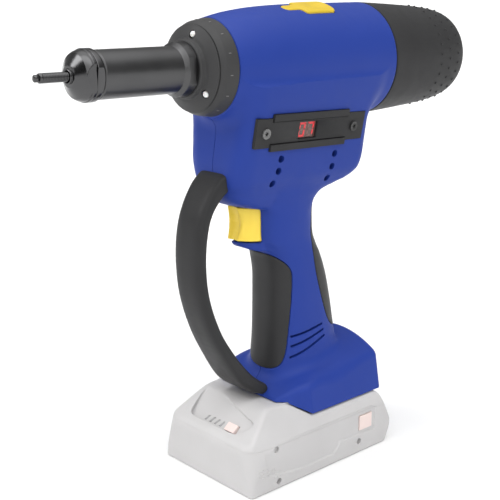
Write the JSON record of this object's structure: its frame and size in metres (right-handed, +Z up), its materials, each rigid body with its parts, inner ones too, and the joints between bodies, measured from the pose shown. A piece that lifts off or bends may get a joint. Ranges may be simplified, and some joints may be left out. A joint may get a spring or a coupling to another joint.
{
  "type": "rivet tool",
  "caption": "Cordless pistol-grip rivet tool with a pulling nose and threaded mandrel, trigger, hand guard, twist-off rear cap and slide-on battery pack.",
  "frame": {"origin": "centre of the battery pack's flat underside", "axes": "-X is where the nose points, +Z is up along the handle towards the barrel, +Y is the tool's right side"},
  "size_m": [0.296, 0.0784, 0.268],
  "materials": {
    "blue_shell": "fine moulded texture",
    "dark_plastic": "fine moulded texture",
    "soft_grip": "matt",
    "yellow": "satin",
    "black_steel": "satin blackened",
    "steel": "machined",
    "case_alloy": "cast",
    "screw": "zinc",
    "lens": "clear white",
    "board": "solder mask",
    "copper": "enamelled wire",
    "contact": "plated",
    "display": "glossy",
    "pack_shell": "fine moulded texture",
    "pack_red": "satin",
    "pack_bar": "gloss",
    "cell": "shrink sleeve"
  },
  "bodies": {
    "tool": {"housing_left": "blue_shell", "housing_right": "blue_shell", "housing_screws": "screw", "nose_flange": "dark_plastic", "work_light_lenses": "lens", "work_light_board": "board", "nose_tube": "black_steel", "lock_nut": "black_steel", "nosepiece": "black_steel", "thrust_bearing": "steel", "nut_bearing": "steel", "gear_case": "case_alloy", "ring_gear": "steel", "motor_can": "case_alloy", "motor_stator": "steel", "motor_windings": "copper", "motor_bearings": "steel", "display_panel": "dark_plastic", "display_window": "display", "panel_clips": "dark_plastic", "panel_screws": "screw", "display_board": "board", "control_board": "board", "trigger_switch": "dark_plastic", "grip_front": "soft_grip", "grip_rear": "soft_grip", "hand_guard": "dark_plastic", "guard_screws": "screw", "terminal_block": "dark_plastic"},
    "collar": {"front_collar": "dark_plastic"},
    "mandrel": {"threaded_mandrel": "black_steel", "pull_adapter": "steel"},
    "spindle": {"ball_screw": "steel"},
    "drive_nut": {"ball_nut": "steel", "planet_carrier": "steel"},
    "planet_1": {"planet_gear_1": "steel"},
    "planet_2": {"planet_gear_2": "steel"},
    "planet_3": {"planet_gear_3": "steel"},
    "rotor": {"motor_rotor": "steel", "sun_gear": "steel", "cooling_fan": "dark_plastic"},
    "cap": {"rear_cap": "dark_plastic"},
    "latch": {"top_latch": "yellow"},
    "trigger": {"trigger": "yellow"},
    "pack": {"battery_lower_shell": "pack_shell", "battery_upper_shell": "pack_shell", "charge_bars": "pack_bar", "battery_cells": "cell", "battery_board": "board", "battery_contacts": "contact", "battery_screws": "screw"},
    "release_left": {"release_button_left": "pack_red"},
    "release_right": {"release_button_right": "pack_red"},
    "charge": {"charge_button": "pack_red"}
  },
  "joints": [
    {"name": "trigger_pull", "type": "slide", "parent": "tool", "child": "trigger", "axis": [0.9929, 0, -0.1191], "range_m": [0, 0.006], "stiffness_N_per_m": 900},
    {"name": "nut_spin", "type": "hinge", "parent": "tool", "child": "drive_nut", "pos_m": [0, 0, 0.2345], "axis": [1, 0, 0], "range_deg": [0, 720]},
    {"name": "spindle_pull", "type": "slide", "parent": "tool", "child": "spindle", "axis": [1, 0, 0], "range_m": [0, 0.01]},
    {"name": "rotor_spin", "type": "hinge", "parent": "tool", "child": "rotor", "pos_m": [0.075, 0, 0.2345], "axis": [1, 0, 0], "range_deg": [0, 3240]},
    {"name": "planet_1_spin", "type": "hinge", "parent": "drive_nut", "child": "planet_1", "pos_m": [0.0415, 0.01215, 0.2345], "axis": [1, 0, 0], "range_deg": [-2016, 0]},
    {"name": "planet_2_spin", "type": "hinge", "parent": "drive_nut", "child": "planet_2", "pos_m": [0.0415, -0.00607, 0.24502], "axis": [1, 0, 0], "range_deg": [-2016, 0]},
    {"name": "planet_3_spin", "type": "hinge", "parent": "drive_nut", "child": "planet_3", "pos_m": [0.0415, -0.00607, 0.22398], "axis": [1, 0, 0], "range_deg": [-2016, 0]},
    {"name": "mandrel_spin", "type": "hinge", "parent": "spindle", "child": "mandrel", "pos_m": [-0.1, 0, 0.2345], "axis": [1, 0, 0], "continuous": true},
    {"name": "cap_turn", "type": "hinge", "parent": "tool", "child": "cap", "pos_m": [0.1, 0, 0.2345], "axis": [1, 0, 0], "range_deg": [0, 40]},
    {"name": "collar_turn", "type": "hinge", "parent": "tool", "child": "collar", "pos_m": [-0.06, 0, 0.2345], "axis": [1, 0, 0], "range_deg": [0, 60]},
    {"name": "latch_press", "type": "slide", "parent": "tool", "child": "latch", "axis": [0, 0.3007, -0.9537], "range_m": [0, 0.002], "stiffness_N_per_m": 600},
    {"name": "pack_slide", "type": "slide", "parent": "tool", "child": "pack", "axis": [-1, 0, 0], "range_m": [0, 0.11]},
    {"name": "release_left_press", "type": "slide", "parent": "pack", "child": "release_left", "axis": [0, 1, 0], "range_m": [0, 0.0015], "stiffness_N_per_m": 900},
    {"name": "release_right_press", "type": "slide", "parent": "pack", "child": "release_right", "axis": [0, -1, 0], "range_m": [0, 0.0015], "stiffness_N_per_m": 900},
    {"name": "charge_press", "type": "slide", "parent": "pack", "child": "charge", "axis": [0.6225, 0, -0.7826], "range_m": [0, 0.0008], "stiffness_N_per_m": 400}
  ],
  "couplings": [
    {"joint": "spindle_pull", "follows": "nut_spin", "m_per_rad": 0.00079577},
    {"joint": "rotor_spin", "follows": "nut_spin", "ratio": 4.5},
    {"joint": "planet_1_spin", "follows": "nut_spin", "ratio": -2.8},
    {"joint": "planet_2_spin", "follows": "nut_spin", "ratio": -2.8},
    {"joint": "planet_3_spin", "follows": "nut_spin", "ratio": -2.8}
  ]
}
